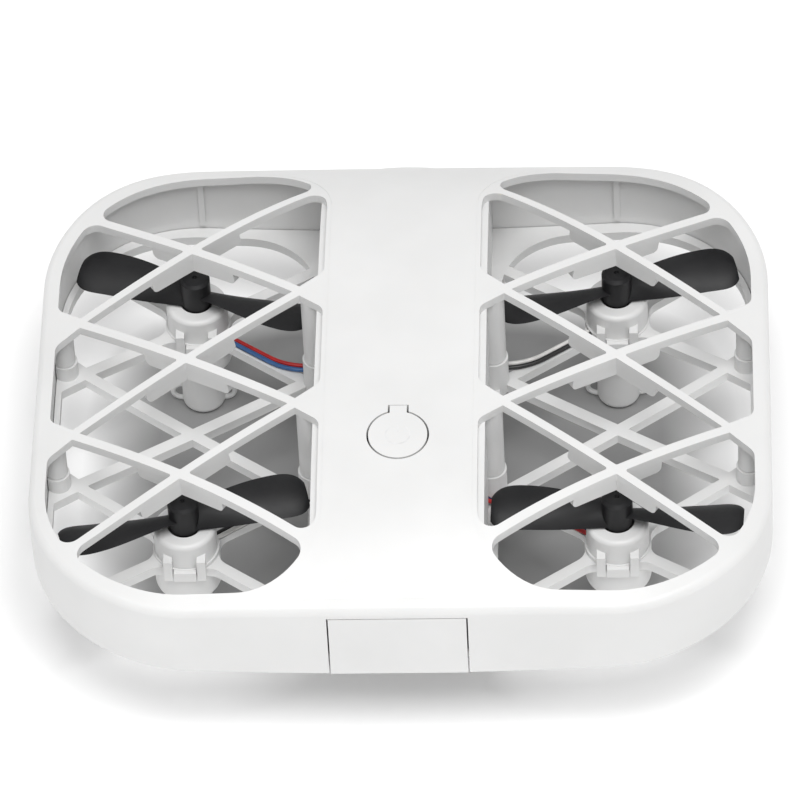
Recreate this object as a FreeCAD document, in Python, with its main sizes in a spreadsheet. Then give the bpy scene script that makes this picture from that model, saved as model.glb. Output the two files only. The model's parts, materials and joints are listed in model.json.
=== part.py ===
import FreeCAD, Part
import math
import os
import re

import Sketcher

# Mini palm drone. The frame is +X to the right, +Y forward (the camera's end) and +Z up.
# The origin is on the ground under the body's centre, and the four motor pods are the feet.

Vector = FreeCAD.Vector
Rotation = FreeCAD.Rotation
Placement = FreeCAD.Placement
UP = Vector(0, 0, 1)
# Longer than the drone, for solids that only cut.
FAR = 120.0
# Places closer than this are the same.
TOUCHING = 0.01

SIZES = {
    # motor layout
    "motor_across": 35.0,
    "motor_along": 25.0,
    # body outline and crown
    "body_half_width": 60.0,
    "body_half_length": 49.7,
    "body_corner": 26.3,
    "rim_height": 30.0,
    "crown_rise": 10.0,
    "shell_wall": 2.0,
    "panel_thickness": 1.6,
    "edge_round": 1.5,
    "spine_step": 0.15,
    "spine_margin": 0.8,
    "belly_height": 15.4,
    "belly_radius": 517.7,
    "nose_radius": 9.0,
    "nose_reach": 1.5,
    # propeller windows
    "window_inner": 12.8,
    "window_outer": 57.2,
    "window_rear": 46.7,
    "window_front": 45.7,
    "window_inner_corner": 13.0,
    "window_outer_corner": 23.4,
    # guard ribs
    "rib_width": 1.5,
    "rib_depth": 1.6,
    "rib_slope": 0.6793,
    "rib_round": 0.35,
    "rim_flare": 2.2,
    "web_length": 17.2,
    "web_thickness": 1.4,
    "web_depth": 2.4,
    "web_round": 0.9,
    # lower frame
    "floor_thickness": 1.8,
    "floor_inner": 15.5,
    "floor_outer": 56.9,
    "floor_end": 45.3,
    "floor_inner_corner": 12.0,
    "floor_outer_corner": 22.0,
    "arm_width": 2.0,
    "arm_round": 2.6,
    "part_gap": 0.15,
    # fuselage walls and screw posts
    "side_wall_outer": 13.9,
    "side_wall_thickness": 1.2,
    "wall_rib_width": 1.0,
    "post_across": 14.5,
    "outer_post_across": 56.4,
    "post_along": 12.5,
    "post_radius_upper": 2.2,
    "post_radius_lower": 2.5,
    "outer_post_upper": 1.8,
    "outer_post_lower": 2.1,
    "split_height": 23.3,
    "screw_radius": 0.8,
    "screw_length": 7.0,
    "screw_head_radius": 1.2,
    "screw_head_height": 1.0,
    # motor pods, motors and caps
    "holder_radius": 5.4,
    "holder_base": 10.4,
    "holder_top": 18.9,
    "holder_round": 1.6,
    "cup_radius": 3.6,
    "cup_round": 1.2,
    "can_radius": 3.0,
    "can_base": 3.4,
    "can_length": 15.0,
    "can_fit": 0.08,
    "boss_radius": 1.1,
    "boss_length": 0.8,
    "shaft_radius": 0.4,
    "shaft_base": 13.8,
    "shaft_top": 29.1,
    "shaft_fit": 0.05,
    "cap_radius": 5.1,
    "cap_top": 23.9,
    "cap_hole": 2.75,
    "cap_wall": 1.1,
    "cap_round": 0.8,
    "clip_width": 1.4,
    "clip_spacing": 5.4,
    "clip_top": 21.3,
    "clip_bottom": 16.9,
    "clip_reach": 0.5,
    "catch_width": 3.6,
    "catch_top": 18.8,
    "loop_radius": 1.6,
    "loop_thickness": 0.42,
    "loop_height": 2.3,
    # propellers
    "prop_radius": 20.4,
    "hub_radius": 2.5,
    "hub_base": 23.9,
    "hub_top": 29.7,
    "collar_radius": 2.1,
    "collar_base": 22.8,
    "blade_height": 25.6,
    "blade_thickness": 0.75,
    # power button and switch
    "button_radius": 4.75,
    "button_along": 20.24,
    "button_gap": 0.3,
    "neck_width": 2.75,
    "neck_length": 1.45,
    "hinge_gap": 0.12,
    "stem_radius": 1.3,
    "stem_bottom": 34.3,
    "switch_size": 4.6,
    "switch_height": 2.6,
    "plunger_radius": 1.1,
    "plunger_top": 34.2,
    # circuit board
    "board_base": 29.8,
    "board_thickness": 1.0,
    "board_half_width": 11.8,
    "board_rear": 37.0,
    "board_front": 36.0,
    # battery module
    "module_half_width": 11.0,
    "module_top": 28.4,
    "module_end": 1.8,
    "case_half_width": 10.4,
    "case_base": 17.5,
    "case_top": 28.0,
    "case_length": 46.0,
    "case_wall": 0.8,
    "bay_gap": 0.25,
    "cell_length": 38.0,
    "port_height": 25.2,
    "port_width": 7.4,
    "port_thickness": 2.6,
    "port_depth": 3.6,
    "port_gap": 1.5,
    # camera
    "camera_height": 22.8,
    "lens_radius": 2.3,
    "camera_size": 7.0,
    "camera_gap": 1.2,
    # motor leads
    "wire_radius": 0.38,
    "wire_height": 18.1,
    "lead_spacing": 0.95,
}

CORNERS = {
    "front_left": (-1, 1),
    "front_right": (1, 1),
    "rear_left": (-1, -1),
    "rear_right": (1, -1),
}
SIDES = {"left": -1, "right": 1}

doc = FreeCAD.newDocument("palm_drone")
sheet = doc.addObject("Spreadsheet::Sheet", "Dimensions")
for row, (alias, value) in enumerate(SIZES.items(), start=1):
    sheet.set(f"A{row}", alias)
    sheet.set(f"B{row}", str(value))
    sheet.setAlias(f"B{row}", alias)
doc.recompute()

subparts = []


def size(alias):
    """The value of one cell of the sheet, in millimetres."""
    return float(sheet.get(alias))


def bind(thing, prop, formula):
    """Drive a property with a formula whose words are aliases of the sheet."""
    thing.setExpression(prop, re.sub(r"[a-z][a-z_]+", lambda w: f"Dimensions.{w.group()}", formula))


# ---------------------------------------------------------------- PartDesign helpers


def new_body(label, at=("0", "0", "0")):
    body = doc.addObject("PartDesign::Body", label)
    body.Label = label
    for axis, formula in zip("xyz", at):
        bind(body, f"Placement.Base.{axis}", formula)
    subparts.append(body)
    return body


def new_sketch(body, role, at=("0", "0", "0")):
    """A sketch on one of the body's own planes, shifted in the plane's directions."""
    sketch = body.newObject("Sketcher::SketchObject", f"{body.Name}_sketch")
    plane = next(item for item in body.Origin.OriginFeatures if item.Role == role)
    sketch.AttachmentSupport = [(plane, "")]
    sketch.MapMode = "FlatFace"
    for axis, formula in zip("xyz", at):
        bind(sketch, f"AttachmentOffset.Base.{axis}", formula)
    return sketch


def tie(sketch, kind, targets, formula):
    """A constraint of the sketch driven by the sheet."""
    index = sketch.addConstraint(Sketcher.Constraint(kind, *targets, 1.0))
    bind(sketch, f"Constraints[{index}]", formula)


def draw_circle(sketch, radius):
    sketch.addGeometry(Part.Circle(Vector(), UP, 1.0))
    sketch.addConstraint(Sketcher.Constraint("Coincident", 0, 3, -1, 1))
    tie(sketch, "Radius", (0,), radius)


def draw_rectangle(sketch, width, height):
    """A rectangle centred on the sketch's origin."""
    corners = [Vector(-1, -1), Vector(1, -1), Vector(1, 1), Vector(-1, 1)]
    for i in range(4):
        sketch.addGeometry(Part.LineSegment(corners[i], corners[(i + 1) % 4]))
    for i in range(4):
        sketch.addConstraint(Sketcher.Constraint("Coincident", i, 2, (i + 1) % 4, 1))
    for i, kind in enumerate(("Horizontal", "Vertical", "Horizontal", "Vertical")):
        sketch.addConstraint(Sketcher.Constraint(kind, i))
    sketch.addConstraint(Sketcher.Constraint("Symmetric", 0, 1, 2, 1, -1, 1))
    tie(sketch, "DistanceX", (0, 1, 0, 2), width)
    tie(sketch, "DistanceY", (1, 1, 1, 2), height)


def draw_profile(sketch, points):
    """A closed polygon of (radius, height) formulas for a turned piece."""
    guesses = [Vector(value_of(radius), value_of(height)) for radius, height in points]
    count = len(points)
    for i in range(count):
        sketch.addGeometry(Part.LineSegment(guesses[i], guesses[(i + 1) % count]))
    for i in range(count):
        sketch.addConstraint(Sketcher.Constraint("Coincident", i, 2, (i + 1) % count, 1))
    for i, (radius, height) in enumerate(points):
        if radius == "0":
            sketch.addConstraint(Sketcher.Constraint("PointOnObject", i, 1, -2))
        else:
            tie(sketch, "DistanceX", (-1, 1, i, 1), radius)
        if height == "0":
            sketch.addConstraint(Sketcher.Constraint("PointOnObject", i, 1, -1))
        else:
            tie(sketch, "DistanceY", (-1, 1, i, 1), height)


def value_of(formula):
    """The value of a sum of aliases and numbers."""
    total = 0.0
    for sign, term in re.findall(r"([+-]?)\s*([a-z_]+|[0-9.]+)", formula):
        value = size(term) if term[0].isalpha() else float(term)
        total += -value if sign == "-" else value
    return total


def pad(body, sketch, length):
    feature = body.newObject("PartDesign::Pad", f"{body.Name}_pad")
    feature.Profile = sketch
    bind(feature, "Length", length)
    return feature


def pocket(body, sketch, length):
    feature = body.newObject("PartDesign::Pocket", f"{body.Name}_pocket")
    feature.Profile = sketch
    feature.Reversed = True
    bind(feature, "Length", length)
    return feature


def revolve(body, sketch):
    feature = body.newObject("PartDesign::Revolution", f"{body.Name}_turn")
    feature.Profile = sketch
    feature.ReferenceAxis = (sketch, ["V_Axis"])
    feature.Angle = 360
    return feature


def round_edges(body, feature, radius, wanted):
    """Fillet the edges of the last feature that the test picks."""
    doc.recompute()
    names = [f"Edge{i}" for i, edge in enumerate(feature.Shape.Edges, start=1) if wanted(edge)]
    fillet = body.newObject("PartDesign::Fillet", f"{body.Name}_round")
    fillet.Base = (feature, names)
    bind(fillet, "Radius", radius)
    return fillet


def block(body, width, depth, height, at):
    """A padded rectangle: centred in X and Y, standing on the given height."""
    sketch = new_sketch(body, "XY_Plane", at)
    draw_rectangle(sketch, width, depth)
    return pad(body, sketch, height)


def disc(body, radius, height, at=("0", "0", "0")):
    """A padded circle standing on the given height."""
    sketch = new_sketch(body, "XY_Plane", at)
    draw_circle(sketch, radius)
    return pad(body, sketch, height)


def is_upright(edge):
    """A straight edge along Z."""
    start, end = edge.Vertexes[0].Point, edge.Vertexes[-1].Point
    return (end - start).cross(UP).Length < 1e-4 < (end - start).Length


# ---------------------------------------------------------------- Part helpers


def new_feature(label, shape):
    feature = doc.addObject("Part::Feature", label)
    feature.Label = label
    feature.Shape = shape
    feature.Placement = Placement()
    subparts.append(feature)
    return feature


def fused(shapes):
    return shapes[0].multiFuse(shapes[1:]).removeSplitter()


def cylinder(radius, bottom, top, x, y):
    return Part.makeCylinder(radius, top - bottom, Vector(x, y, bottom))


def cuboid(low, high):
    span = Vector(*high) - Vector(*low)
    return Part.makeBox(span.x, span.y, span.z, Vector(*low))


def rounded_outline(low_x, high_x, low_y, high_y, low_corner, high_corner):
    """A face whose two low-X corners and two high-X corners have their own radii."""
    corners = [
        (Vector(low_x, low_y), low_corner, 180),
        (Vector(high_x, low_y), high_corner, 270),
        (Vector(high_x, high_y), high_corner, 0),
        (Vector(low_x, high_y), low_corner, 90),
    ]
    middle = Vector((low_x + high_x) / 2, (low_y + high_y) / 2)
    arcs = []
    for corner, radius, start in corners:
        inward = Vector(math.copysign(radius, middle.x - corner.x), math.copysign(radius, middle.y - corner.y))
        arcs.append(Part.makeCircle(radius, corner + inward, UP, start, start + 90))
    edges = []
    for i, arc in enumerate(arcs):
        edges.append(arc)
        edges.append(Part.makeLine(arc.Vertexes[-1].Point, arcs[(i + 1) % 4].Vertexes[0].Point))
    return Part.Face(Part.Wire(edges))


def prism(face, bottom, top):
    return face.translated(Vector(0, 0, bottom)).extrude(UP * (top - bottom))


LOW, HIGH = 0.0, size("rim_height") + 2 * size("crown_rise")


def body_prism(inset):
    """The body's plan shape, drawn in from the outer wall, as a tall solid."""
    half_x = size("body_half_width") - inset
    half_y = size("body_half_length") - inset
    corner = size("body_corner") - inset
    plan = prism(rounded_outline(-half_x, half_x, -half_y, half_y, corner, corner), LOW, HIGH)
    nose_centre = size("body_half_length") + size("nose_reach") - size("nose_radius")
    nose = cylinder(size("nose_radius") - inset, LOW, HIGH, 0, nose_centre)
    return fused([plan, nose])


def below_crown(drop, extra_rise=0.0):
    """Everything under the pillow-shaped top, lowered by a drop.

    The top is rim + rise * (1 - (x/a)^2) * (1 - (y/b)^4), an exact polynomial patch.
    """
    half_x, half_y = size("body_half_width"), size("body_half_length")
    reach_x, reach_y = 1.1 * half_x, 1.1 * half_y
    square, fourth = (reach_x / half_x) ** 2, (reach_y / half_y) ** 4
    across = [1 - square, 1 + square, 1 - square]
    along = [1 - fourth, 1 + fourth, 1 - fourth, 1 + fourth, 1 - fourth]
    poles = []
    for i, weight_x in enumerate(across):
        line = []
        for j, weight_y in enumerate(along):
            rise = (size("crown_rise") + extra_rise) * weight_x * weight_y
            line.append(Vector(reach_x * (i - 1), reach_y * (j / 2 - 1), size("rim_height") - drop + rise))
        poles.append(line)
    surface = Part.BSplineSurface()
    surface.buildFromPolesMultsKnots(poles, [3, 3], [5, 5], [0, 1], [0, 1], False, False, 2, 4)
    return surface.toShape().extrude(Vector(0, 0, -2 * HIGH))


def crown_height(x, y):
    across = 1 - (x / size("body_half_width")) ** 2
    along = 1 - (y / size("body_half_length")) ** 4
    return size("rim_height") + size("crown_rise") * across * along


def above_belly(lift):
    """Everything over the gently arched underside, raised by a lift."""
    radius = size("belly_radius")
    reach = 2 * size("body_half_length")
    centre = Vector(0, -reach, size("belly_height") + lift + radius)
    return Part.makeCylinder(radius, 2 * reach, centre, Vector(0, 1, 0))


def window_prism(side, margin=0.0):
    """One propeller window through the top, enlarged by a margin."""
    face = rounded_outline(
        size("window_inner") - margin, size("window_outer") + margin,
        -size("window_rear") - margin, size("window_front") + margin,
        size("window_inner_corner") + margin, size("window_outer_corner") + margin,
    )
    tall = prism(face, LOW, HIGH)
    return tall if side > 0 else tall.mirror(Vector(), Vector(1, 0, 0))


def floor_opening(side):
    """One opening of the belly under two propellers."""
    end = size("floor_end")
    face = rounded_outline(
        size("floor_inner"), size("floor_outer"), -end, end,
        size("floor_inner_corner"), size("floor_outer_corner"),
    )
    tall = prism(face, LOW, HIGH)
    return tall if side > 0 else tall.mirror(Vector(), Vector(1, 0, 0))


def strip(width, length, x, y, angle, bottom, top):
    """A straight bar centred on a point and turned about Z."""
    bar = Part.makeBox(length, width, top - bottom, Vector(-length / 2, -width / 2, bottom))
    bar.rotate(Vector(), UP, angle)
    bar.translate(Vector(x, y, 0))
    return bar


def lattice(side, width, rows):
    """Diagonal bars crossing on the motor line at the given rows."""
    angle = math.degrees(math.atan(size("rib_slope")))
    bars = []
    for row in rows:
        for turn in (angle, -angle):
            centre_y = row * size("motor_along")
            bars.append(strip(width, FAR, side * size("motor_across"), centre_y, turn, LOW, HIGH))
    return bars


def node_flares(side, width, edges):
    """Fillers where two bars meet at the edges of an opening."""
    flares = []
    middle = size("motor_along") / 2
    reach = middle / size("rib_slope")
    for edge in edges:
        inward = math.copysign(1, size("motor_across") - edge)
        tip = size("motor_across") - inward * reach
        for y in (-middle, middle):
            spread = 0.9 * abs(edge - tip) + width
            points = [
                Vector(side * (tip + inward * width), y, LOW),
                Vector(side * (edge - inward), y - spread, LOW),
                Vector(side * (edge - inward), y + spread, LOW),
            ]
            face = Part.Face(Part.makePolygon(points + points[:1]))
            flares.append(face.extrude(UP * (HIGH - LOW)))
    return flares


# ---------------------------------------------------------------- top shell


def shell_posts(upper):
    """Screw posts of the upper or the lower shell, as (radius, x, y)."""
    posts = []
    inner = size("post_radius_upper") if upper else size("post_radius_lower")
    outer = size("outer_post_upper") if upper else size("outer_post_lower")
    for sign_x, sign_y in CORNERS.values():
        along = sign_y * size("post_along")
        posts.append((inner, sign_x * size("post_across"), along))
        posts.append((outer, sign_x * size("outer_post_across"), along))
    return posts


def side_walls(bottom, top):
    """The two fuselage walls between the propeller windows."""
    outer = size("side_wall_outer")
    thickness = size("side_wall_thickness")
    reach = size("body_half_length") - size("shell_wall") - size("part_gap")
    walls = []
    for side in SIDES.values():
        inner, outer_x = sorted((side * (outer - thickness), side * outer))
        walls.append(cuboid((inner, -reach, bottom), (outer_x, reach, top)))
    return walls


def rounded_shell():
    """The hollow shell with its top and bottom outer edges rounded."""
    solid = body_prism(0).common(below_crown(0)).common(above_belly(0))
    rim = []
    for edge in solid.Edges:
        box = edge.BoundBox
        level = box.ZMin > size("belly_height") + size("floor_thickness") + 5
        if level and not is_upright(edge):
            rim.append(edge)
    solid = solid.makeFillet(size("edge_round"), rim)
    hollow = body_prism(size("shell_wall")).common(below_crown(size("panel_thickness")))
    return solid.cut(hollow)


def button_opening():
    """The round gap and the two slits that free the power button."""
    y = -size("button_along")
    gap = size("button_gap")
    radius = size("button_radius") + gap
    ring = cylinder(radius, size("split_height"), HIGH, 0, y)
    half = size("neck_width") / 2 + gap
    far = y + size("button_radius") + size("neck_length")
    slot = cuboid((-half, y, size("split_height")), (half, far, HIGH))
    return ring.fuse(slot)


def spine_panel():
    """The spine's surface, a hair proud of the rim and fading out at both ends."""
    across = size("window_inner") + size("window_inner_corner")
    plan = cuboid((-across, -FAR, LOW), (across, FAR, HIGH))
    plan = plan.common(body_prism(size("edge_round") + 2 * size("spine_step")))
    for side in SIDES.values():
        plan = plan.cut(window_prism(side, size("spine_margin")))
    raised = plan.common(below_crown(0, size("spine_step")))
    return raised.cut(below_crown(size("panel_thickness") / 2))


def make_top_shell():
    shell = rounded_shell()
    for side in SIDES.values():
        shell = shell.cut(window_prism(side))
    split = size("split_height")
    added = side_walls(split, HIGH)
    for radius, x, y in shell_posts(upper=True):
        added.append(cylinder(radius, split, HIGH, x, y))
    lip = below_crown(size("panel_thickness") / 2).common(body_prism(size("shell_wall") / 2))
    added = [piece.common(lip) for piece in added]
    for side in SIDES.values():
        guard_room = window_prism(side).cut(below_crown(size("rib_depth")))
        added = [piece.cut(guard_room) for piece in added]
    half_rib = size("wall_rib_width") / 2
    for sign_x, sign_y in CORNERS.values():
        x = sign_x * size("motor_across")
        inside = size("body_half_length") - size("shell_wall")
        low_y, high_y = sorted((sign_y * (inside - half_rib), sign_y * (inside + half_rib)))
        rib = cuboid((x - half_rib, low_y, split - 4), (x + half_rib, high_y, size("rim_height") - 1))
        added.append(rib)
    shell = fused([shell] + added)
    pilot = size("screw_radius") + 0.02
    shell = shell.fuse(spine_panel())
    holes = [cylinder(pilot, split - 1, split + size("screw_length"), x, y) for _, x, y in shell_posts(True)]
    half = size("module_half_width") + size("bay_gap")
    rear = -size("body_half_length")
    holes.append(cuboid((-half, rear - 1, LOW), (half, rear + size("shell_wall") + 1, size("module_top") + 0.2)))
    holes.append(button_opening())
    front = size("body_half_length") + size("nose_reach")
    lens_hole = Part.makeCylinder(
        size("lens_radius") + 0.1, 8, Vector(0, front + 2, size("camera_height")), Vector(0, -1, 0)
    )
    holes.append(lens_hole)
    return shell.cut(Part.makeCompound(holes))


# ---------------------------------------------------------------- guards


def same_line(edge, other):
    """Two upright edges at the same place."""
    if not is_upright(edge):
        return False
    one, two = edge.Vertexes[0].Point, other.Vertexes[0].Point
    return math.hypot(one.x - two.x, one.y - two.y) < TOUCHING


def make_guard(side):
    """The diagonal ribs over two propellers, with a stiffening web under each crossing."""
    width = size("rib_width")
    bars = lattice(side, width, (-1, 0, 1))
    bars += node_flares(side, width, (size("window_inner"), size("window_outer")))
    window = window_prism(side)
    rim = window_prism(side, 2 * width).cut(window)
    grid = fused(bars).common(window_prism(side, width))
    centres = [Vector(side * size("motor_across"), row * size("motor_along")) for row in (-1, 0, 1)]
    edge_wall = max(window.Shells[0].Faces, key=lambda face: abs(face.normalAt(0, 0).z))
    outline = edge_wall.OuterWire
    grid = fused([grid, rim])
    crossings, meetings = [], []
    for edge in grid.Edges:
        if is_upright(edge):
            point = edge.Vertexes[0].Point
            flat = Vector(point.x, point.y, outline.CenterOfMass.z)
            if min(math.hypot(point.x - c.x, point.y - c.y) for c in centres) < 2 * width:
                crossings.append(edge)
            elif outline.distToShape(Part.Vertex(flat))[0] < TOUCHING:
                meetings.append(edge)
    grid = grid.makeFillet(size("rib_round"), crossings)
    meetings = [edge for edge in grid.Edges if any(same_line(edge, old) for old in meetings)]
    grid = grid.makeFillet(size("rim_flare"), meetings)
    grid = grid.common(window).common(below_crown(0)).cut(below_crown(size("rib_depth")))
    webs = []
    slope = math.atan(size("rib_slope"))
    reach = size("web_length") / 2
    for row in (-1, 0, 1):
        x, y = side * size("motor_across"), row * size("motor_along")
        for turn in (slope, -slope):
            step = Vector(math.cos(turn), math.sin(turn)) * reach
            rise = crown_height(x + step.x, y + step.y) - crown_height(x - step.x, y - step.y)
            deep = size("rib_depth") + size("web_depth")
            web = Part.makeBox(2 * reach, size("web_thickness"), deep + 3)
            ends = [edge for edge in web.Edges if abs(edge.BoundBox.ZMax) < TOUCHING and edge.Length < reach]
            web = web.makeFillet(size("web_round"), ends)
            web.translate(Vector(-reach, -size("web_thickness") / 2, -deep))
            web.rotate(Vector(), Vector(0, 1, 0), -math.degrees(math.atan2(rise, 2 * reach)))
            web.rotate(Vector(), UP, math.degrees(turn))
            web.translate(Vector(x, y, crown_height(x, y)))
            webs.append(web.common(below_crown(size("rib_depth") / 2)))
    return fused([grid] + webs)


# ---------------------------------------------------------------- power button


def make_power_button():
    """A disc on a narrow neck, flush with the top, with a stem over the switch."""
    y = -size("button_along")
    radius = size("button_radius")
    plate_bottom = size("split_height")
    plate = cylinder(radius, plate_bottom, HIGH, 0, y)
    half = size("neck_width") / 2
    far = y + radius + size("neck_length") - size("hinge_gap")
    neck = cuboid((-half, y, plate_bottom), (half, far, HIGH))
    plate = fused([plate, neck])
    plate = plate.common(below_crown(0, size("spine_step"))).cut(below_crown(size("panel_thickness")))
    underside = crown_height(0, y) - size("panel_thickness") / 2
    stem = cylinder(size("stem_radius"), size("stem_bottom"), underside, 0, y)
    return fused([plate, stem])


# ---------------------------------------------------------------- bottom shell


def screw_seat(x, y):
    """A clearance hole with a round seat for the screw's head, open below."""
    floor = size("belly_height") + x * x / (2 * size("belly_radius"))
    seat = floor + size("screw_head_height") + 0.6
    shaft = cylinder(size("screw_radius") + 0.1, LOW, size("split_height") + 1, x, y)
    head = cylinder(size("screw_head_radius") + 0.1, LOW, seat, x, y)
    return shaft.fuse(head)


def floor_slab():
    """The layer between the arched underside and the floor's top."""
    slab = cuboid((-FAR, -FAR, LOW), (FAR, FAR, HIGH)).common(above_belly(0))
    return slab.cut(above_belly(size("floor_thickness")))


def make_bottom_shell():
    floor = body_prism(size("shell_wall") + size("part_gap")).common(floor_slab())
    for side in SIDES.values():
        floor = floor.cut(floor_opening(side))
    top = size("split_height") - size("part_gap")
    base = size("belly_height") + 1
    inside = body_prism(size("shell_wall") + size("part_gap")).common(above_belly(0))
    added = side_walls(base, top)
    for radius, x, y in shell_posts(upper=False):
        added.append(cylinder(radius, LOW, top, x, y))
    added = [piece.common(inside) for piece in added]
    shell = fused([floor] + added)
    cuts = [screw_seat(x, y) for _, x, y in shell_posts(False)]
    for points in lead_routes().values():
        cuts.append(lead_tube(points, size("wire_radius") + 0.15))
    rear = -size("body_half_length")
    half = size("module_half_width") + size("bay_gap")
    cuts.append(cuboid((-half, rear, LOW), (half, rear + size("module_end") + 1.6, size("case_base"))))
    return shell.cut(Part.makeCompound(cuts))


# ---------------------------------------------------------------- motor frames


def motor_pod(x, y):
    """A motor holder that narrows to the cup the drone stands on, with two side loops."""
    holder = cylinder(size("holder_radius"), size("holder_base"), size("holder_top"), x, y)
    low_edges = [edge for edge in holder.Edges if abs(edge.BoundBox.ZMax - size("holder_base")) < TOUCHING]
    holder = holder.makeFillet(size("holder_round"), low_edges)
    cup = cylinder(size("cup_radius"), LOW, size("holder_base") + 1, x, y)
    foot_edges = [edge for edge in cup.Edges if edge.BoundBox.ZMax < TOUCHING]
    cup = cup.makeFillet(size("cup_round"), foot_edges)
    pieces = [holder, cup]
    for side in (-1, 1):
        centre = Vector(x + side * size("cup_radius"), y, size("loop_height"))
        pieces.append(Part.makeTorus(size("loop_radius"), size("loop_thickness"), centre, Vector(0, 1, 0)))
    reach = size("holder_radius") + size("clip_reach") + 0.2
    half = size("catch_width") / 2
    catch = cuboid((x - half, y - reach, size("clip_bottom")), (x + half, y, size("catch_top")))
    pieces.append(catch)
    return fused(pieces)


def make_motor_frame(side):
    """The lower grille of one side with its two motor pods."""
    bars = lattice(side, size("arm_width"), (-1, 0, 1))
    bars += node_flares(side, size("arm_width"), (size("floor_outer"),))
    x = side * size("motor_across")
    rows = (-size("motor_along"), size("motor_along"))
    for y in rows:
        bars.append(cylinder(size("holder_radius"), LOW, HIGH, x, y))
    grid = fused(bars)
    corners = []
    for edge in grid.Edges:
        if is_upright(edge):
            point = edge.Vertexes[0].Point
            near = min(math.hypot(point.x - x, point.y - y) for y in rows)
            if abs(near - size("holder_radius")) < 0.05:
                corners.append(edge)
    grid = grid.makeFillet(size("arm_round"), corners)
    grid = grid.common(floor_opening(side)).common(floor_slab())
    pods = [motor_pod(x, y) for y in rows]
    frame = fused([grid] + pods)
    cuts = []
    for radius, post_x, post_y in shell_posts(upper=False):
        cuts.append(cylinder(radius, LOW, HIGH, post_x, post_y))
    bore = size("can_radius") + size("can_fit")
    for y in rows:
        cuts.append(cylinder(bore, size("can_base"), HIGH, x, y))
    for points in lead_routes().values():
        cuts.append(lead_tube(points, size("wire_radius") + 0.15))
    return frame.cut(Part.makeCompound(cuts))


# ---------------------------------------------------------------- motor leads


def lead_routes():
    """Each lead's points, from its motor along an arm and up to the circuit board."""
    routes = {}
    lift = size("wire_height")
    board = size("board_base")
    for corner, (sign_x, sign_y) in CORNERS.items():
        for name, shift in (("positive", 0.0), ("negative", -size("lead_spacing"))):
            points = [
                (31.9, 23.9, lift),
                (27.1, 20.5, lift),
                (20.0, 15.5, lift),
                (12.3, 15.5, lift),
                (11.4, 16.1, board - 4.5),
                (11.4, 16.1, board),
            ]
            routes[f"{corner}_{name}_lead"] = [Vector(sign_x * x, sign_y * (y + shift), z) for x, y, z in points]
    return routes


def lead_tube(points, radius):
    """A round lead along straight runs joined by tangent arcs."""
    edges = []
    start = points[0]
    for before, corner, after in zip(points, points[1:], points[2:]):
        incoming = (corner - before).normalize()
        outgoing = (after - corner).normalize()
        turn = incoming.getAngle(outgoing)
        run = min((corner - before).Length, (after - corner).Length)
        trim = 0.45 * run
        first = corner - incoming * trim
        last = corner + outgoing * trim
        bend = trim / math.tan(turn / 2)
        towards = (outgoing - incoming).normalize()
        centre = corner + towards * math.hypot(bend, trim)
        edges.append(Part.makeLine(start, first))
        edges.append(Part.Arc(first, centre - towards * bend, last).toShape())
        start = last
    edges.append(Part.makeLine(start, points[-1]))
    path = Part.Wire(edges)
    direction = points[1] - points[0]
    profile = Part.Wire(Part.makeCircle(radius, points[0], direction))
    return path.makePipeShell([profile], True, False)


# ---------------------------------------------------------------- motors, caps, shafts, propellers


def corner_place(signs):
    return (f"{signs[0]} * motor_across", f"{signs[1]} * motor_along", "0")


def make_motor(label, signs):
    """A coreless motor's can with its bearing boss and the bore for its shaft."""
    body = new_body(label, corner_place(signs))
    sketch = new_sketch(body, "XZ_Plane")
    top = "can_base + can_length"
    draw_profile(sketch, [
        ("0", "can_base"),
        ("can_radius", "can_base"),
        ("can_radius", top),
        ("boss_radius", top),
        ("boss_radius", top + " + boss_length"),
        ("0", top + " + boss_length"),
    ])
    revolve(body, sketch)
    bore = new_sketch(body, "XY_Plane", ("0", "0", "shaft_base - shaft_fit"))
    draw_circle(bore, "shaft_radius + shaft_fit")
    pocket(body, bore, "can_length")


def make_shaft(label, signs):
    body = new_body(label, corner_place(signs))
    disc(body, "shaft_radius", "shaft_top - shaft_base", ("0", "0", "shaft_base"))


def make_motor_cap(label, signs):
    """A ring over the motor with two clip legs on the outside of its holder."""
    body = new_body(label, corner_place(signs))
    sketch = new_sketch(body, "XZ_Plane")
    draw_profile(sketch, [
        ("cap_hole", "cap_top - cap_wall"),
        ("cap_radius - cap_wall", "cap_top - cap_wall"),
        ("cap_radius - cap_wall", "holder_top"),
        ("cap_radius", "holder_top"),
        ("cap_radius", "cap_top"),
        ("cap_hole", "cap_top"),
    ])
    turned = revolve(body, sketch)
    outer = size("cap_radius")
    top = size("cap_top")
    last = round_edges(
        body, turned, "cap_round",
        lambda edge: abs(edge.BoundBox.ZMin - top) < 0.01 and abs(edge.BoundBox.XMax - outer) < 0.01,
    )
    for sign in (-1, 1):
        leg = new_sketch(body, "XY_Plane", (
            f"{sign} * clip_spacing / 2", "0 - holder_radius - clip_reach / 2", "clip_bottom",
        ))
        draw_rectangle(leg, "clip_width", "clip_reach")
        last = pad(body, leg, "clip_top - clip_bottom")
    for sign in (-1, 1):
        bridge = new_sketch(body, "XY_Plane", (
            f"{sign} * clip_spacing / 2", "0 - cap_radius - clip_reach / 2 + 0.7", "holder_top",
        ))
        draw_rectangle(bridge, "clip_width", "clip_reach + 2.1")
        last = pad(body, bridge, "clip_top - holder_top")
    body.Tip = last


BLADE = [
    # share of the radius, chord, pitch in degrees, sweep of the chord's middle
    (0.07, 4.8, 30, 0.0),
    (0.25, 5.8, 26, 0.2),
    (0.45, 7.1, 20, 0.5),
    (0.65, 8.0, 15, 0.7),
    (0.84, 8.3, 12, 0.6),
    (0.95, 7.0, 11, 0.3),
    (1.00, 4.5, 11, 0.1),
]


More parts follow.
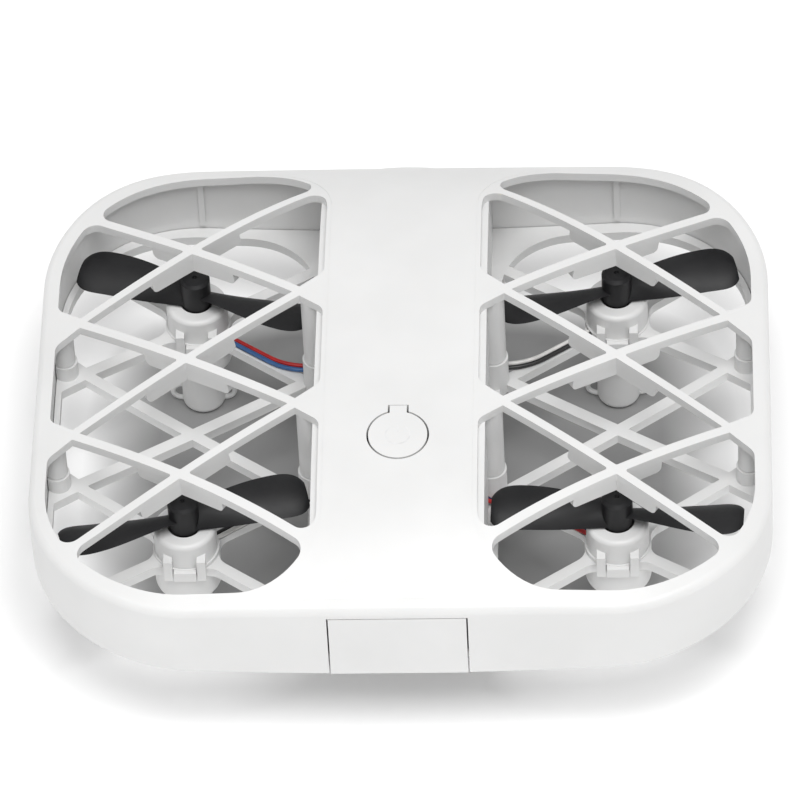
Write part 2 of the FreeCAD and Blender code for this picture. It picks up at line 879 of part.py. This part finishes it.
def make_propeller(label, signs, hand, angle):
    """A two-blade propeller; hand is 1 when it turns anticlockwise seen from above."""
    body = new_body(label, corner_place(signs))
    body.Placement.Rotation = Rotation(UP, angle)
    hub = new_sketch(body, "XZ_Plane")
    draw_profile(hub, [
        ("shaft_radius", "collar_base"),
        ("collar_radius", "collar_base"),
        ("collar_radius", "hub_base"),
        ("hub_radius", "hub_base"),
        ("hub_radius", "hub_top - 0.5"),
        ("hub_radius - 0.5", "hub_top"),
        ("shaft_radius", "hub_top"),
    ])
    revolve(body, hub)
    sections = []
    for share, chord, pitch, sweep in BLADE:
        section = new_sketch(body, "YZ_Plane", (str(hand * sweep), "blade_height", f"{share} * prop_radius"))
        section.AttachmentOffset = Placement(section.AttachmentOffset.Base, Rotation(UP, hand * pitch))
        half = chord / 2
        camber = 0.09 * chord
        thick = size("blade_thickness") * (0.6 + 0.4 * (1 - share))
        over = Part.Arc(Vector(-half, 0), Vector(0, camber + thick / 2), Vector(half, 0))
        under = Part.Arc(Vector(half, 0), Vector(0, camber - thick / 2), Vector(-half, 0))
        section.addGeometry(over)
        section.addGeometry(under)
        sections.append(section)
    loft = body.newObject("PartDesign::AdditiveLoft", f"{label}_blade")
    loft.Profile = sections[0]
    loft.Sections = sections[1:]
    pattern = body.newObject("PartDesign::PolarPattern", f"{label}_blades")
    pattern.Originals = [loft]
    pattern.Axis = (hub, ["V_Axis"])
    pattern.Angle = 360
    pattern.Occurrences = 2
    body.Tip = pattern


# ---------------------------------------------------------------- electronics


def make_flight_board():
    body = new_body("flight_board")
    length = "board_rear + board_front"
    slab = block(body, "2 * board_half_width", length, "board_thickness",
                 ("0", "(board_front - board_rear) / 2", "board_base"))
    round_edges(body, slab, "1.5 * board_thickness", is_upright)


def make_board_chips():
    """The processor, the motion sensor and the radio chip on the board."""
    top = size("board_base") + size("board_thickness")
    chips = []
    for x, y, span, deep, tall in ((0, 6, 7, 7, 1.0), (-6, -6, 3, 3, 0.9), (6, 16, 5, 4, 0.9), (5, -6, 4, 5, 1.2)):
        chips.append(cuboid((x - span / 2, y - deep / 2, top), (x + span / 2, y + deep / 2, top + tall)))
    new_feature("board_chips", Part.makeCompound(chips))


def make_switch():
    height = "board_base + board_thickness"
    body = new_body("power_switch")
    block(body, "switch_size", "switch_size", "switch_height", ("0", "0 - button_along", height))
    bore = new_sketch(body, "XY_Plane", ("0", "0 - button_along", height + " + 0.6"))
    draw_circle(bore, "plunger_radius + shaft_fit")
    pocket(body, bore, "switch_height")
    plunger = new_body("switch_plunger")
    disc(plunger, "plunger_radius", f"plunger_top - ({height} + 1.2)",
         ("0", "0 - button_along", height + " + 1.2"))


def make_status_light():
    body = new_body("status_light")
    block(body, "2", "1.2", "0.8", ("0", "0 - 9.5", "board_base + board_thickness"))


def make_antenna():
    """A thin whip lying over the board's front."""
    points = [(9.5, 20), (10, 27), (7, 33), (0, 34.5), (-7, 33)]
    lift = size("board_base") + size("board_thickness") + 0.4
    route = [Vector(x, y, lift) for x, y in points]
    new_feature("antenna_wire", lead_tube(route, 0.35))


# ---------------------------------------------------------------- battery module


def make_battery():
    rear = "0 - body_half_length"
    case = new_body("battery_case")
    block(case, "2 * module_half_width", "module_end", "module_top - belly_height",
          ("0", rear + " + module_end / 2", "belly_height"))
    middle = rear + " + module_end + case_length / 2"
    block(case, "2 * case_half_width", "case_length", "case_top - case_base", ("0", middle, "case_base"))
    hollow = new_sketch(case, "XY_Plane", ("0", middle, "case_base + case_wall"))
    draw_rectangle(hollow, "2 * case_half_width - 2 * case_wall", "case_length - 2 * case_wall")
    pocket(case, hollow, "case_top - case_base")
    port = new_sketch(case, "XZ_Plane", ("0", "port_height", "port_gap"))
    draw_rectangle(port, "port_width + 0.3", "port_thickness + 0.3")
    case.Tip = pocket(case, port, "3 * case_wall")
    lid = new_body("battery_lid")
    block(lid, "2 * case_half_width - 2 * case_wall - 0.1", "case_length - 2 * case_wall - 0.1", "case_wall",
          ("0", middle, "case_top - case_wall"))
    cell = new_body("battery_cell")
    front = rear + " + module_end + case_wall + 0.4"
    slab = block(cell, "2 * case_half_width - 2 * case_wall - 0.6", "cell_length",
                 "case_top - case_base - 2 * case_wall - 0.4",
                 ("0", front + " + cell_length / 2", "case_base + case_wall + 0.1"))
    round_edges(cell, slab, "1.2", is_upright)
    socket = new_body("charging_socket")
    shell = new_sketch(socket, "XZ_Plane", ("0", "port_height", "port_gap + case_wall"))
    draw_rectangle(shell, "port_width", "port_thickness")
    pad(socket, shell, "port_depth")
    mouth = new_sketch(socket, "XZ_Plane", ("0", "port_height", "port_gap"))
    draw_rectangle(mouth, "port_width - 0.6", "port_thickness - 0.6")
    pocket(socket, mouth, "port_depth")
    board = new_body("protection_board")
    block(board, "2 * case_half_width - 2 * case_wall - 1", "1", "case_top - case_base - 2 * case_wall - 1",
          ("0", front + " + cell_length + 2", "case_base + case_wall + 0.4"))


def make_contacts():
    """Spring contacts that meet the battery module's front end."""
    face = -size("body_half_length") + size("module_end") + size("case_length") + size("bay_gap")
    block_base = size("case_base") + 1.5
    floor = size("belly_height") + size("floor_thickness") + 0.05
    holder = cuboid((-5, face + 0.9, floor), (5, face + 4, block_base + 5))
    new_feature("contact_block", holder)
    pins = []
    for x in (-3, 0, 3):
        pins.append(cuboid((x - 0.6, face + 0.05, block_base + 1), (x + 0.6, face + 0.9, block_base + 3.5)))
    new_feature("battery_contacts", Part.makeCompound(pins))


# ---------------------------------------------------------------- camera


def make_camera():
    nose = size("body_half_length") + size("nose_reach")
    wall = size("shell_wall")
    side = size("camera_size") / 2
    height = size("camera_height")
    face = nose - wall - size("camera_gap")
    back = face - size("camera_size")
    box = cuboid((-side, back, height - side), (side, face, height + side))
    barrel_radius = size("lens_radius") - 0.1
    forward = Vector(0, 1, 0)
    barrel = Part.makeCylinder(barrel_radius, nose - 0.2 - face, Vector(0, face, height), forward)
    seat = Part.makeCylinder(barrel_radius - 0.5, 1.2, Vector(0, nose - 1.4, height), forward)
    new_feature("camera_module", box.fuse(barrel).cut(seat))
    lens = Part.makeCylinder(barrel_radius - 0.55, 0.7, Vector(0, nose - 1.4, height), forward)
    rim = [edge for edge in lens.Edges if abs(edge.BoundBox.YMin - nose + 0.7) < 0.01]
    new_feature("camera_lens", lens.makeFillet(0.3, rim))
    top = size("board_base")
    ribbon = Part.makePolygon([
        Vector(-2.5, back + 2, height + side), Vector(-2.5, back + 2, top - 1.2), Vector(-2.5, 33, top - 1.2),
        Vector(-2.5, 33, top), Vector(-2.5, 32.8, top), Vector(-2.5, 32.8, top - 1.4),
        Vector(-2.5, back + 1.8, top - 1.4), Vector(-2.5, back + 1.8, height + side),
        Vector(-2.5, back + 2, height + side),
    ])
    new_feature("camera_ribbon", Part.Face(ribbon).extrude(Vector(5, 0, 0)))


# ---------------------------------------------------------------- screws


def make_screws():
    screws = []
    for _, x, y in shell_posts(upper=False):
        floor = size("belly_height") + x * x / (2 * size("belly_radius"))
        seat = floor + size("screw_head_height") + 0.6
        head = cylinder(size("screw_head_radius"), seat - size("screw_head_height"), seat, x, y)
        slot = strip(0.4, 2.0, x, y, 0, LOW, seat - 0.5).fuse(strip(0.4, 2.0, x, y, 90, LOW, seat - 0.5))
        shank = cylinder(size("screw_radius"), seat, seat + size("screw_length"), x, y)
        screws.append(head.cut(slot).fuse(shank).removeSplitter())
    new_feature("shell_screws", Part.makeCompound(screws))


# ---------------------------------------------------------------- the whole drone

new_feature("top_shell", make_top_shell())
new_feature("bottom_shell", make_bottom_shell())
for name, side in SIDES.items():
    new_feature(f"guard_{name}", make_guard(side))
    new_feature(f"motor_frame_{name}", make_motor_frame(side))
new_feature("power_button", make_power_button())
for name, route in lead_routes().items():
    new_feature(name, lead_tube(route, size("wire_radius")))
PROPELLER_ANGLES = {"front_left": -16.6, "front_right": 13.0, "rear_left": 13.7, "rear_right": -3.0}
for corner, signs in CORNERS.items():
    make_motor(f"{corner}_motor", signs)
    make_motor_cap(f"{corner}_motor_cap", signs)
    make_shaft(f"{corner}_shaft", signs)
    make_propeller(f"{corner}_propeller", signs, signs[0] * signs[1], PROPELLER_ANGLES[corner])
make_flight_board()
make_board_chips()
make_switch()
make_status_light()
make_antenna()
make_battery()
make_contacts()
make_camera()
make_screws()

doc.recompute()
for item in doc.Objects:
    if {"Invalid", "Error"} & set(item.State):
        raise RuntimeError(f"{item.Name} did not compute: {item.State}")
os.makedirs("parts", exist_ok=True)
for item in subparts:
    if item.Shape.isNull() or not item.Shape.isValid():
        raise RuntimeError(f"{item.Label} has no valid shape")
    item.Shape.exportStep(f"parts/{item.Label}.step")
    print(item.Label, len(item.Shape.Solids), round(item.Shape.Volume, 1))
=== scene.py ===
import json
import math

import bmesh
import bpy
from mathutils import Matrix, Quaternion, Vector


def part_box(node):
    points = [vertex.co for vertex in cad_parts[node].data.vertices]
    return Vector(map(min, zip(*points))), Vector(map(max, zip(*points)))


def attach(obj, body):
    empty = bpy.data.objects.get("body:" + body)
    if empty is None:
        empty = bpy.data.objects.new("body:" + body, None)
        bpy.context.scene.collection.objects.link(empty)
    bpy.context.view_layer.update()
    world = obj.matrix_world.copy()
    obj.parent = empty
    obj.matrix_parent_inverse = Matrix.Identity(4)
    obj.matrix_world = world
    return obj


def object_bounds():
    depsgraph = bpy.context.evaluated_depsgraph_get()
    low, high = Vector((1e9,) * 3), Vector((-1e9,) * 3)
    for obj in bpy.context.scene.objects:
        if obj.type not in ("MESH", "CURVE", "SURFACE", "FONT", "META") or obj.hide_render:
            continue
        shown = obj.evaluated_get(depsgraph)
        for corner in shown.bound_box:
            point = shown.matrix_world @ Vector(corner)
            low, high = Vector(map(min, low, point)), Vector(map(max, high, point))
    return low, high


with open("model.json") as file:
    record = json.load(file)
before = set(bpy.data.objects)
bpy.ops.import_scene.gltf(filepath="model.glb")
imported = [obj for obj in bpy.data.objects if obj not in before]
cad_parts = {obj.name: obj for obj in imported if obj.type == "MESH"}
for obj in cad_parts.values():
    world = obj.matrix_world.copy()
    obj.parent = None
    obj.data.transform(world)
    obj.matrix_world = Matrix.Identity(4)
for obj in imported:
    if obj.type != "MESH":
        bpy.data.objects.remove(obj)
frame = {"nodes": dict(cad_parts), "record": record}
cad_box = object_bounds()

MM = 0.001    # the CAD is drawn in millimetres, and this scene is in metres
CORNERS = ("front_left", "front_right", "rear_left", "rear_right")


# ---------------------------------------------------------------- camera

# Angles in degrees, the distance in metres and the lens in millimetres.
VIEW_AZIMUTH = 3.32
VIEW_ELEVATION = 46.5
VIEW_ROLL = -3.06
VIEW_PITCH = -0.4816
VIEW_DISTANCE = 1.1357
LENS = 315


def add_camera():
    """A long lens behind and above the drone, a little to the right and rolled a few degrees."""
    azimuth, elevation = math.radians(VIEW_AZIMUTH), math.radians(VIEW_ELEVATION)
    back = Vector((
        math.sin(azimuth) * math.cos(elevation),
        -math.cos(azimuth) * math.cos(elevation),
        math.sin(elevation),
    ))
    apex = Vector((0, 0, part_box("top_shell")[1][2]))
    data = bpy.data.cameras.new("camera")
    data.lens = LENS
    camera = bpy.data.objects.new("camera", data)
    bpy.context.collection.objects.link(camera)
    camera.location = apex + back * VIEW_DISTANCE
    camera.rotation_mode = "QUATERNION"
    roll = Quaternion((0, 0, 1), math.radians(VIEW_ROLL))
    pitch = Quaternion((1, 0, 0), math.radians(VIEW_PITCH))
    camera.rotation_quaternion = (-back).to_track_quat("-Z", "Y") @ roll @ pitch
    bpy.context.scene.camera = camera


# ---------------------------------------------------------------- materials


def new_material(name, colour, roughness, **sockets):
    """A Principled material; other sockets are set by name, with spaces as underscores."""
    material = bpy.data.materials.new(name)
    material.use_nodes = True
    shader = material.node_tree.nodes["Principled BSDF"]
    shader.inputs["Base Color"].default_value = (*colour, 1)
    shader.inputs["Roughness"].default_value = roughness
    for socket, value in sockets.items():
        shader.inputs[socket.replace("_", " ")].default_value = value
    return material


def object_noise(material, scale, detail=3.0, stretch=(1, 1, 1)):
    """Noise in the object's own space, in cells per metre."""
    nodes, links = material.node_tree.nodes, material.node_tree.links
    place = nodes.new("ShaderNodeTexCoord")
    mapping = nodes.new("ShaderNodeMapping")
    mapping.inputs["Scale"].default_value = stretch
    noise = nodes.new("ShaderNodeTexNoise")
    noise.inputs["Scale"].default_value = scale
    noise.inputs["Detail"].default_value = detail
    links.new(place.outputs["Object"], mapping.inputs["Vector"])
    links.new(mapping.outputs["Vector"], noise.inputs["Vector"])
    return noise.outputs["Fac"]


def vary_colour(material, fac, low, high, spread=(0.35, 0.65)):
    """Drive the base colour between two colours."""
    nodes, links = material.node_tree.nodes, material.node_tree.links
    ramp = nodes.new("ShaderNodeValToRGB")
    ramp.color_ramp.elements[0].position = spread[0]
    ramp.color_ramp.elements[1].position = spread[1]
    ramp.color_ramp.elements[0].color = (*low, 1)
    ramp.color_ramp.elements[1].color = (*high, 1)
    links.new(fac, ramp.inputs["Fac"])
    links.new(ramp.outputs["Color"], nodes["Principled BSDF"].inputs["Base Color"])


def vary_roughness(material, fac, low, high):
    """Drive the roughness between two values."""
    nodes, links = material.node_tree.nodes, material.node_tree.links
    span = nodes.new("ShaderNodeMapRange")
    span.inputs["To Min"].default_value = low
    span.inputs["To Max"].default_value = high
    links.new(fac, span.inputs["Value"])
    links.new(span.outputs["Result"], nodes["Principled BSDF"].inputs["Roughness"])


def add_bump(material, fac, height, strength=1.0):
    """Bump the surface with a pattern; the height is in metres."""
    nodes, links = material.node_tree.nodes, material.node_tree.links
    bump = nodes.new("ShaderNodeBump")
    bump.inputs["Strength"].default_value = strength
    bump.inputs["Distance"].default_value = height
    links.new(fac, bump.inputs["Height"])
    links.new(bump.outputs["Normal"], nodes["Principled BSDF"].inputs["Normal"])


def white_plastic():
    """Satin white ABS: slightly warm, a fine moulded grain and faint handling marks."""
    material = new_material(
        "white_abs", (0.71, 0.71, 0.706), 0.42,
        Subsurface_Weight=0.12, Subsurface_Radius=(0.002, 0.0018, 0.0016), IOR=1.5,
    )
    vary_colour(material, object_noise(material, 60), (0.695, 0.695, 0.691), (0.725, 0.725, 0.722))
    vary_roughness(material, object_noise(material, 350, 5), 0.36, 0.5)
    add_bump(material, object_noise(material, 2600, 2), 0.00001, 0.5)
    return material


def blade_plastic():
    """Black nylon: satin, with a fine grain that catches the light along the blades."""
    material = new_material("black_nylon", (0.012, 0.012, 0.013), 0.48, IOR=1.5, Specular_IOR_Level=0.3)
    vary_colour(material, object_noise(material, 140), (0.009, 0.009, 0.01), (0.015, 0.015, 0.016))
    vary_roughness(material, object_noise(material, 600, 4), 0.42, 0.56)
    add_bump(material, object_noise(material, 5000, 2), 0.000012, 0.6)
    return material


def turned_metal(name, colour, roughness):
    """Drawn or turned metal with fine rings round its axis."""
    material = new_material(name, colour, roughness, Metallic=1.0)
    fac = object_noise(material, 300, 4, (1, 1, 14))
    vary_roughness(material, fac, roughness - 0.08, roughness + 0.1)
    vary_colour(material, fac, tuple(0.88 * c for c in colour), colour)
    add_bump(material, fac, 0.000008, 0.4)
    return material


def insulation(name, colour):
    """Soft PVC insulation with slight unevenness."""
    material = new_material(name, colour, 0.35, IOR=1.5)
    vary_colour(material, object_noise(material, 500), tuple(0.8 * c for c in colour), colour)
    vary_roughness(material, object_noise(material, 900), 0.28, 0.45)
    return material


def circuit_resin():
    """Green solder mask with the darker lines of the tracks below it."""
    material = new_material("solder_mask", (0.01, 0.12, 0.05), 0.3, IOR=1.5)
    nodes, links = material.node_tree.nodes, material.node_tree.links
    place = nodes.new("ShaderNodeTexCoord")
    tracks = nodes.new("ShaderNodeTexBrick")
    tracks.inputs["Scale"].default_value = 260
    tracks.inputs["Mortar Size"].default_value = 0.04
    links.new(place.outputs["Object"], tracks.inputs["Vector"])
    vary_colour(material, tracks.outputs["Fac"], (0.01, 0.12, 0.05), (0.03, 0.24, 0.1), (0.2, 0.8))
    add_bump(material, tracks.outputs["Fac"], 0.00003, 0.6)
    return material


def plain_variation(name, colour, roughness, **sockets):
    """A small piece's material: slight colour and roughness variation and a fine grain."""
    material = new_material(name, colour, roughness, **sockets)
    vary_colour(material, object_noise(material, 400), tuple(0.85 * c for c in colour), colour)
    vary_roughness(material, object_noise(material, 900), roughness - 0.06, roughness + 0.08)
    add_bump(material, object_noise(material, 3000), 0.00001, 0.5)
    return material


def paint_nodes():
    """Give every CAD node the material of its slot in the record."""
    by_slot = {
        "white_shell": white_plastic(),
        "black_blade": blade_plastic(),
        "motor_steel": turned_metal("drawn_steel", (0.6, 0.6, 0.62), 0.3),
        "shaft_steel": turned_metal("ground_steel", (0.7, 0.7, 0.72), 0.2),
        "red_wire": insulation("red_insulation", (0.5, 0.02, 0.02)),
        "blue_wire": insulation("blue_insulation", (0.04, 0.12, 0.3)),
        "white_wire": insulation("white_insulation", (0.8, 0.79, 0.77)),
        "black_wire": insulation("black_insulation", (0.02, 0.02, 0.02)),
        "circuit_green": circuit_resin(),
        "chip_black": plain_variation("chip_resin", (0.02, 0.02, 0.022), 0.45),
        "switch_metal": turned_metal("plated_steel", (0.65, 0.65, 0.66), 0.3),
        "switch_grey": plain_variation("switch_plastic", (0.12, 0.12, 0.12), 0.4),
        "light_lens": plain_variation("clear_epoxy", (0.8, 0.85, 0.8), 0.15, Transmission_Weight=0.5),
        "antenna_black": insulation("antenna_insulation", (0.02, 0.02, 0.02)),
        "cell_foil": plain_variation("pouch_foil", (0.7, 0.71, 0.73), 0.3, Metallic=1.0),
        "gold_contact": plain_variation("gold_plate", (0.83, 0.6, 0.25), 0.25, Metallic=1.0),
        "lens_glass": plain_variation("lens_glass", (0.02, 0.02, 0.035), 0.1, Coat_Weight=1.0),
        "ribbon_amber": plain_variation("flex_film", (0.5, 0.22, 0.04), 0.3),
        "screw_steel": turned_metal("zinc_plate", (0.5, 0.5, 0.52), 0.3),
    }
    for entry in frame["record"]["subparts"]:
        node = frame["nodes"][entry["node"]]
        node.data.materials.clear()
        node.data.materials.append(by_slot[entry["material_slot"]])


# ---------------------------------------------------------------- moulded edges

EDGE_ANGLE = math.radians(35)


def soften_edges():
    """Small rounds on the moulded pieces' edges, as a mould leaves them."""
    widths = {"top_shell": 0.22, "guard_left": 0.22, "guard_right": 0.22, "bottom_shell": 0.2,
              "motor_frame_left": 0.2, "motor_frame_right": 0.2, "battery_case": 0.15, "power_button": 0.15}
    widths.update({f"{corner}_motor_cap": 0.15 for corner in CORNERS})
    widths.update({f"{corner}_propeller": 0.12 for corner in CORNERS})
    for name, width in widths.items():
        bevel = frame["nodes"][name].modifiers.new("edge_round", "BEVEL")
        bevel.width = width * MM
        bevel.segments = 2
        bevel.limit_method = "ANGLE"
        bevel.angle_limit = EDGE_ANGLE
        bevel.harden_normals = True


# ---------------------------------------------------------------- power symbol

# Lengths in millimetres, and the ring's opening in degrees.
SYMBOL_RADIUS = 1.95
SYMBOL_STROKE = 0.28
SYMBOL_LIFT = 0.02
SYMBOL_OPENING = 70
ARC_STEPS = 48


def lay_ribbon(mesh, target, line, width):
    """A flat ribbon along a plan line, laid on the top of a node."""
    to_local = target.matrix_world.inverted()
    down = to_local.to_3x3() @ Vector((0, 0, -1))
    rows = []
    for i, point in enumerate(line):
        before, after = line[max(i - 1, 0)], line[min(i + 1, len(line) - 1)]
        along = (after - before).normalized()
        across = Vector((-along.y, along.x, 0)) * width / 2
        row = []
        for edge in (point - across, point + across):
            start = to_local @ Vector((edge.x, edge.y, cad_box[1][2] + 10 * MM))
            found, place, _, _ = target.ray_cast(start, down)
            if not found:
                raise RuntimeError("the symbol runs off the button")
            row.append(mesh.verts.new(target.matrix_world @ place + Vector((0, 0, SYMBOL_LIFT * MM))))
        rows.append(row)
    for near, far in zip(rows, rows[1:]):
        mesh.faces.new((near[0], far[0], far[1], near[1]))


def add_power_symbol():
    """The usual broken ring with a bar, printed faintly on the button."""
    button = frame["nodes"]["power_button"]
    low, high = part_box("power_button")
    radius = (high[0] - low[0]) / 2
    centre = Vector((0, low[1] + radius, 0))
    gap = math.radians(SYMBOL_OPENING)
    arc = []
    for i in range(ARC_STEPS + 1):
        angle = math.pi / 2 + gap / 2 + (2 * math.pi - gap) * i / ARC_STEPS
        arc.append(centre + Vector((math.cos(angle), math.sin(angle), 0)) * SYMBOL_RADIUS * MM)
    bar = [centre + Vector((0, reach * SYMBOL_RADIUS * MM, 0)) for reach in (0.2, 0.6, 1.15)]
    shape = bmesh.new()
    for line in (arc, bar):
        lay_ribbon(shape, button, line, SYMBOL_STROKE * MM)
    mesh = bpy.data.meshes.new("power_symbol")
    shape.to_mesh(mesh)
    shape.free()
    symbol = bpy.data.objects.new("power_symbol", mesh)
    bpy.context.collection.objects.link(symbol)
    thick = symbol.modifiers.new("thickness", "SOLIDIFY")
    thick.thickness = SYMBOL_LIFT * MM
    symbol.data.materials.append(plain_variation("pale_print", (0.74, 0.74, 0.74), 0.6))
    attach(symbol, "button")


# ---------------------------------------------------------------- studio

# The floor and the light are in metres, and the painted shadow patch on the floor is in millimetres.
FLOOR_SPAN = 6.0
# A patch of painted shade on the floor under the drone, standing in for its shadow:
PAINTED_SHADOW_AHEAD = 8          # how far the patch's middle is ahead of the drone's
PAINTED_SHADOW_REACH = (55, 41)   # how far the patch reaches along X and along Y
PAINTED_SHADOW_SHARE = 0.3        # how much of the floor's colour is left in its middle
FADE_START = 0.35        # where it starts to fade, on a scale from 0 in its middle to 1 at its edge
KEY_PLACE = (0.1, -0.42, 1.13)
KEY_SPAN = 0.6
KEY_WATTS = 9.6
SKY_STRENGTH = 0.65


def paint_shadow_patch(material, ahead, reach_x, reach_y, share):
    """Paint shade into the base colour: dim it in a rounded patch, a painted shadow, whose scale is the sum
    of two fourth powers.
    """
    nodes, links = material.node_tree.nodes, material.node_tree.links
    place = nodes.new("ShaderNodeTexCoord")
    split = nodes.new("ShaderNodeSeparateXYZ")
    shift = nodes.new("ShaderNodeMapping")
    shift.inputs["Location"].default_value = (0, -ahead, 0)
    links.new(place.outputs["Object"], shift.inputs["Vector"])
    links.new(shift.outputs["Vector"], split.inputs["Vector"])
    total = nodes.new("ShaderNodeMath")
    for i, (axis, reach) in enumerate((("X", reach_x), ("Y", reach_y))):
        scaled = nodes.new("ShaderNodeMath")
        scaled.operation = "DIVIDE"
        scaled.inputs[1].default_value = reach
        fourth = nodes.new("ShaderNodeMath")
        fourth.operation = "POWER"
        fourth.inputs[1].default_value = 4
        absolute = nodes.new("ShaderNodeMath")
        absolute.operation = "ABSOLUTE"
        links.new(split.outputs[axis], absolute.inputs[0])
        links.new(absolute.outputs[0], scaled.inputs[0])
        links.new(scaled.outputs[0], fourth.inputs[0])
        links.new(fourth.outputs[0], total.inputs[i])
    fade = nodes.new("ShaderNodeMapRange")
    fade.inputs["From Min"].default_value = FADE_START
    fade.inputs["From Max"].default_value = 1.0
    fade.inputs["To Min"].default_value = share
    links.new(total.outputs[0], fade.inputs["Value"])
    # Multiply the floor's colour by the painted shade.
    painted_shadow = nodes.new("ShaderNodeMix")
    painted_shadow.data_type = "RGBA"
    painted_shadow.blend_type = "MULTIPLY"
    painted_shadow.inputs["Factor"].default_value = 1
    shader = nodes["Principled BSDF"]
    links.new(shader.inputs["Base Color"].links[0].from_socket, painted_shadow.inputs["A"])
    links.new(fade.outputs["Result"], painted_shadow.inputs["B"])
    links.new(painted_shadow.outputs["Result"], shader.inputs["Base Color"])


def add_floor():
    """A plain pale floor, with painted shade in a patch under the drone."""
    bpy.ops.mesh.primitive_plane_add(size=FLOOR_SPAN, location=(0, 0, 0))
    floor = bpy.context.object
    floor.name = "floor"
    material = new_material("pale_floor", (0.97, 0.97, 0.97), 0.7)
    vary_colour(material, object_noise(material, 3), (0.965, 0.965, 0.965), (0.975, 0.975, 0.975))
    reach_x, reach_y = PAINTED_SHADOW_REACH
    # Painted shadow: the floor's colour is dimmed under the drone.
    paint_shadow_patch(material, PAINTED_SHADOW_AHEAD * MM, reach_x * MM, reach_y * MM, PAINTED_SHADOW_SHARE)
    floor.data.materials.append(material)


def add_light(name, place, span, watts):
    """A square soft box aimed at the drone."""
    data = bpy.data.lights.new(name, "AREA")
    data.size = span
    data.energy = watts
    light = bpy.data.objects.new(name, data)
    bpy.context.collection.objects.link(light)
    light.location = place
    light.rotation_mode = "QUATERNION"
    light.rotation_quaternion = (-Vector(place)).to_track_quat("-Z", "Y")


def add_studio():
    """The floor, one soft box high behind the drone and an even white sky, without tone mapping."""
    add_floor()
    add_light("key_box", KEY_PLACE, KEY_SPAN, KEY_WATTS)
    world = bpy.data.worlds.new("studio")
    bpy.context.scene.world = world
    world.use_nodes = True
    world.node_tree.nodes["Background"].inputs["Color"].default_value = (1, 1, 1, 1)
    world.node_tree.nodes["Background"].inputs["Strength"].default_value = SKY_STRENGTH
    bpy.context.scene.view_settings.view_transform = "Standard"


add_camera()
paint_nodes()
soften_edges()
add_power_symbol()
add_studio()
